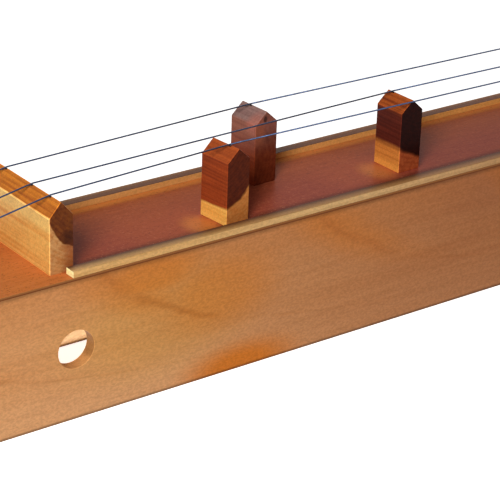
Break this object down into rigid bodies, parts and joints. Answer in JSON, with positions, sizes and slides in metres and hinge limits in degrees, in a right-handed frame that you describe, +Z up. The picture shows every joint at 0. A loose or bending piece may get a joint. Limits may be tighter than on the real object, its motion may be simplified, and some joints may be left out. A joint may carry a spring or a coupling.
{
  "type": "monochord",
  "caption": "Long wooden sound box with an open bottom, fixed gable nuts, edge rails, steel strings, loose sliding bridges and tuning pins.",
  "frame": {"origin": "middle of the footprint, on the surface that the box stands on", "axes": "+X along the strings from the tuning pins to the hitch screws, +Y from the front board with the sound hole to the back board, +Z up"},
  "size_m": [0.8, 0.075, 0.116],
  "materials": {
    "side_wood": "satin honey-tan hardwood",
    "soundboard_wood": "satin red-brown veneer, finely speckled",
    "block_wood": "plain sawn hardwood",
    "rail_wood": "pale satin hardwood strip",
    "nut_wood": "oiled, golden sapwood with dark heartwood",
    "front_bridge_wood": "oiled, red-brown heartwood with a pale sapwood foot",
    "middle_bridge_wood": "oiled, dark heartwood over golden sapwood",
    "back_bridge_wood": "oiled, purple-brown heartwood",
    "string_steel": "drawn steel wire",
    "pin_steel": "blued steel",
    "brass": "bare brass"
  },
  "bodies": {
    "box": {"side_front": "side_wood", "side_back": "side_wood", "soundboard": "soundboard_wood", "pin_block": "block_wood", "hitch_block": "block_wood", "brace_left": "block_wood", "brace_middle": "block_wood", "brace_right": "block_wood", "rail_front": "rail_wood", "rail_back": "rail_wood", "nut_left": "nut_wood", "nut_right": "nut_wood", "string_front": "string_steel", "string_middle": "string_steel", "string_back": "string_steel", "hitch_screw_front": "brass", "hitch_screw_middle": "brass", "hitch_screw_back": "brass", "eye_front": "brass", "eye_middle": "brass", "eye_back": "brass"},
    "front_bridge": {"bridge_front": "front_bridge_wood"},
    "middle_bridge": {"bridge_middle": "middle_bridge_wood"},
    "back_bridge": {"bridge_back": "back_bridge_wood"},
    "front_pin": {"tuning_pin_front": "pin_steel", "winding_front": "string_steel"},
    "middle_pin": {"tuning_pin_middle": "pin_steel", "winding_middle": "string_steel"},
    "back_pin": {"tuning_pin_back": "pin_steel", "winding_back": "string_steel"}
  },
  "joints": [
    {"name": "front_bridge_slide", "type": "slide", "parent": "box", "child": "front_bridge", "axis": [1, 0, 0], "range_m": [-0.087, 0.063], "deforming": ["string_front"]},
    {"name": "middle_bridge_slide", "type": "slide", "parent": "box", "child": "middle_bridge", "axis": [1, 0, 0], "range_m": [-0.039, 0.363], "deforming": ["string_middle"]},
    {"name": "back_bridge_slide", "type": "slide", "parent": "box", "child": "back_bridge", "axis": [1, 0, 0], "range_m": [-0.13, 0.438], "deforming": ["string_back"]},
    {"name": "front_pin_turn", "type": "hinge", "parent": "box", "child": "front_pin", "pos_m": [-0.373, -0.01755, 0.075], "axis": [0, 0, 1], "continuous": true},
    {"name": "middle_pin_turn", "type": "hinge", "parent": "box", "child": "middle_pin", "pos_m": [-0.373, -0.00105, 0.075], "axis": [0, 0, 1], "continuous": true},
    {"name": "back_pin_turn", "type": "hinge", "parent": "box", "child": "back_pin", "pos_m": [-0.373, 0.02295, 0.075], "axis": [0, 0, 1], "continuous": true}
  ]
}
